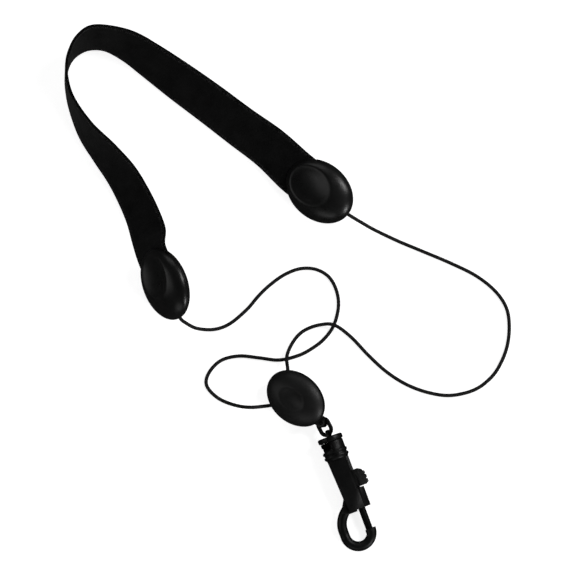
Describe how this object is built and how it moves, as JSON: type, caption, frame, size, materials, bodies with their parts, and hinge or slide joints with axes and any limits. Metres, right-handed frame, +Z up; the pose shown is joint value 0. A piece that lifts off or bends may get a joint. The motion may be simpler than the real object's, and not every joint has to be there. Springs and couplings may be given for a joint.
{
  "type": "neck strap with snap hook",
  "caption": "Adjustable neck strap: webbing band, oval end pods, braided cord run through a spring-drum adjuster with a push cap, and a swivel snap hook.",
  "frame": {"origin": "on the surface the strap lies on, at the centre of the footprint of everything but the free cords", "axes": "+Z up from the surface; +Y from the snap hook towards the neck band, along the strap's length as laid; +X across it, towards the free loop of the right cord"},
  "size_m": [0.2029, 0.2358, 0.0213],
  "materials": {
    "band_webbing": "matt brushed nap",
    "braided_cord": "matt round braid",
    "satin_black": "satin",
    "matte_black": "fine matt",
    "inner_black": "smooth matt",
    "brake_rubber": "matt",
    "ring_wire": "black coated",
    "steel": "bright drawn"
  },
  "bodies": {
    "strap": {"neck_band": "band_webbing", "right_pod_front": "satin_black", "right_pod_back": "satin_black", "right_band_bar": "steel", "right_cord_stop": "steel", "left_pod_front": "satin_black", "left_pod_back": "satin_black", "left_band_bar": "steel", "left_cord_stop": "steel", "right_cord": "braided_cord", "left_cord": "braided_cord", "adjuster_housing": "satin_black", "drum_bridge": "satin_black", "cap_spring": "steel", "drum_spring": "steel", "lug_pin": "ring_wire"},
    "cap": {"adjuster_cap": "matte_black", "cap_stem": "satin_black", "brake_disc": "brake_rubber"},
    "drum": {"cord_drum": "satin_black", "cord_winding": "braided_cord"},
    "link": {"link_ring": "ring_wire"},
    "swivel": {"swivel_eye": "matte_black"},
    "hook": {"hook_body": "matte_black", "bolt_spring": "steel"},
    "bolt": {"hook_bolt": "inner_black", "thumb_knob": "matte_black"}
  },
  "joints": [
    {"name": "cap_press", "type": "slide", "parent": "strap", "child": "cap", "axis": [0.3346, 0.2502, -0.9085], "range_m": [0, 0.0009], "stiffness_N_per_m": 600, "deforming": ["cap_spring"]},
    {"name": "drum_turn", "type": "hinge", "parent": "strap", "child": "drum", "pos_m": [0.0354, -0.0512, 0.00727], "axis": [-0.3346, -0.2502, 0.9085], "continuous": true, "deforming": ["drum_spring"]},
    {"name": "link_pivot", "type": "hinge", "parent": "strap", "child": "link", "pos_m": [0.04723, -0.06193, 0.00564], "axis": [-0.4304, -0.0778, 0.8993], "range_deg": [-25, 25]},
    {"name": "swivel_tilt", "type": "hinge", "parent": "link", "child": "swivel", "pos_m": [0.04978, -0.067, 0.00643], "axis": [0.8669, 0.2876, 0.4071], "range_deg": [-20, 20]},
    {"name": "hook_swivel", "type": "hinge", "parent": "swivel", "child": "hook", "pos_m": [0.0503, -0.0684, 0.0063], "axis": [0.349, -0.9334, -0.0837], "continuous": true},
    {"name": "bolt_slide", "type": "slide", "parent": "hook", "child": "bolt", "axis": [-0.349, 0.9334, 0.0837], "range_m": [0, 0.0066], "stiffness_N_per_m": 200, "deforming": ["bolt_spring"]}
  ]
}
